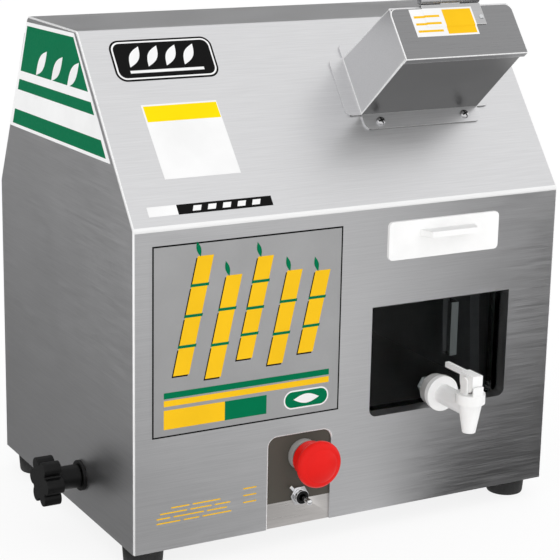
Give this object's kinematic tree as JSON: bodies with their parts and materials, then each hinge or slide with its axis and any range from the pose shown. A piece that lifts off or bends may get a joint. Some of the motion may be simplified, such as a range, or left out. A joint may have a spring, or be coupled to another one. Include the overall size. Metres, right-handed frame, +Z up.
{
  "type": "electric sugarcane juicer",
  "caption": "Tabletop electric sugarcane juicer: steel casing with a lidded feed chute, roller mill, strainer drawer and a clear juice tank with a tap.",
  "frame": {"origin": "middle of the whole part's outline on the floor under the feet", "axes": "+X to the machine's right as seen from the front, +Y from the front to the back, +Z up"},
  "size_m": [0.438, 0.358, 0.4503],
  "materials": {
    "brushed_steel": "brushed",
    "polished_steel": "polished",
    "roller_steel": "machined",
    "gear_steel": "dull",
    "zinc_fasteners": "zinc plated",
    "cast_grey": "painted",
    "bronze": "machined",
    "white_plastic": "satin",
    "grey_plastic": "matte",
    "red_plastic": "gloss",
    "black_plastic": "matte",
    "clear_acrylic": "clear",
    "seal_rubber": "matte",
    "black_rubber": "matte"
  },
  "bodies": {
    "casing": {"front_panel": "brushed_steel", "rear_panel": "brushed_steel", "left_side_panel": "brushed_steel", "right_side_panel": "brushed_steel", "feed_chute": "brushed_steel", "bagasse_chute": "brushed_steel", "drawer_rails": "brushed_steel", "juice_tray": "brushed_steel", "tank_shelf": "brushed_steel", "switch_plate": "polished_steel", "chute_leaf": "polished_steel", "toggle_nut": "polished_steel", "trash_plate": "roller_steel", "tie_bars": "roller_steel", "hinge_pin": "roller_steel", "left_cheek": "gear_steel", "right_cheek": "gear_steel", "base_plate": "gear_steel", "foot_bolts": "zinc_fasteners", "pan_screws": "zinc_fasteners", "gearbox_housing": "cast_grey", "gearbox_cover": "cast_grey", "roller_bushes": "bronze", "estop_body": "grey_plastic", "estop_contacts": "black_plastic", "toggle_body": "black_plastic", "knob_bush": "black_plastic", "cable_gland": "black_plastic", "feet": "black_rubber", "drive_belt": "black_rubber"},
    "lid": {"feed_lid": "brushed_steel", "lid_leaf": "polished_steel"},
    "drawer": {"strainer_drawer": "white_plastic", "strainer_plate": "roller_steel"},
    "tank": {"juice_tank": "clear_acrylic", "tap_body": "white_plastic", "tap_seals": "seal_rubber", "tap_back_nut": "white_plastic"},
    "tap_handle": {"tap_lever": "white_plastic"},
    "tap_valve": {"tap_plunger": "grey_plastic"},
    "estop_pusher": {"estop_stem": "grey_plastic"},
    "estop_button": {"estop_head": "red_plastic"},
    "toggle": {"toggle_lever": "polished_steel"},
    "knob": {"tension_knob": "black_plastic", "tension_rod": "roller_steel"},
    "motor": {"motor_carriage": "gear_steel", "motor_housing": "cast_grey", "motor_end_shields": "cast_grey"},
    "rotor": {"motor_rotor": "roller_steel", "motor_pulley": "cast_grey"},
    "worm": {"worm_shaft": "roller_steel", "worm_pulley": "cast_grey"},
    "top_mill": {"top_roller": "roller_steel", "top_gear": "gear_steel", "worm_wheel": "bronze"},
    "feed_mill": {"feed_roller": "roller_steel", "feed_gear": "gear_steel"},
    "discharge_mill": {"discharge_roller": "roller_steel", "discharge_gear": "gear_steel"}
  },
  "joints": [
    {"name": "lid_hinge", "type": "hinge", "parent": "casing", "child": "lid", "pos_m": [0.1075, -0.10997, 0.44707], "axis": [-1, 0, 0], "range_deg": [0, 150]},
    {"name": "drawer_slide", "type": "slide", "parent": "casing", "child": "drawer", "axis": [0, -1, 0], "range_m": [0, 0.18]},
    {"name": "tank_slide", "type": "slide", "parent": "casing", "child": "tank", "axis": [0, -1, 0], "range_m": [0, 0.16]},
    {"name": "tap_lever_lift", "type": "hinge", "parent": "tank", "child": "tap_handle", "pos_m": [0.108, -0.16655, 0.1365], "axis": [1, 0, 0], "range_deg": [0, 30]},
    {"name": "tap_valve_lift", "type": "slide", "parent": "tank", "child": "tap_valve", "axis": [0, 0, 1], "range_m": [0, 0.003]},
    {"name": "estop_push", "type": "slide", "parent": "casing", "child": "estop_pusher", "axis": [0, 1, 0], "range_m": [0, 0.004]},
    {"name": "estop_twist", "type": "hinge", "parent": "estop_pusher", "child": "estop_button", "pos_m": [-0.0275, -0.14595, 0.0795], "axis": [0, 1, 0], "range_deg": [0, 45]},
    {"name": "toggle_flip", "type": "hinge", "parent": "casing", "child": "toggle", "pos_m": [-0.0305, -0.12645, 0.044], "axis": [1, 0, 0], "range_deg": [-12, 12]},
    {"name": "knob_turn", "type": "hinge", "parent": "casing", "child": "knob", "pos_m": [-0.201, -0.01695, 0.05], "axis": [1, 0, 0], "range_deg": [-1440, 1440]},
    {"name": "motor_shift", "type": "slide", "parent": "casing", "child": "motor", "axis": [-1, 0, 0], "range_m": [-0.005, 0.005], "deforming": ["drive_belt"]},
    {"name": "motor_spin", "type": "hinge", "parent": "motor", "child": "rotor", "pos_m": [-0.09097, -0.02395, 0.113], "axis": [0, 1, 0], "continuous": true},
    {"name": "worm_spin", "type": "hinge", "parent": "casing", "child": "worm", "pos_m": [-0.0455, -0.02395, 0.30272], "axis": [0, 1, 0], "continuous": true},
    {"name": "top_roller_spin", "type": "hinge", "parent": "casing", "child": "top_mill", "pos_m": [0.1045, 0.0261, 0.35272], "axis": [1, 0, 0], "continuous": true},
    {"name": "feed_roller_spin", "type": "hinge", "parent": "casing", "child": "feed_mill", "pos_m": [0.1045, -0.01266, 0.30306], "axis": [1, 0, 0], "continuous": true},
    {"name": "discharge_roller_spin", "type": "hinge", "parent": "casing", "child": "discharge_mill", "pos_m": [0.1045, 0.06491, 0.30309], "axis": [1, 0, 0], "continuous": true}
  ],
  "couplings": [
    {"joint": "tap_valve_lift", "follows": "tap_lever_lift", "m_per_rad": 0.0057296},
    {"joint": "knob_turn", "follows": "motor_shift", "rad_per_m": 5026.5},
    {"joint": "worm_spin", "follows": "motor_spin", "ratio": 0.66667},
    {"joint": "top_roller_spin", "follows": "motor_spin", "ratio": 0.013333},
    {"joint": "feed_roller_spin", "follows": "motor_spin", "ratio": -0.013333},
    {"joint": "discharge_roller_spin", "follows": "motor_spin", "ratio": -0.013333}
  ]
}
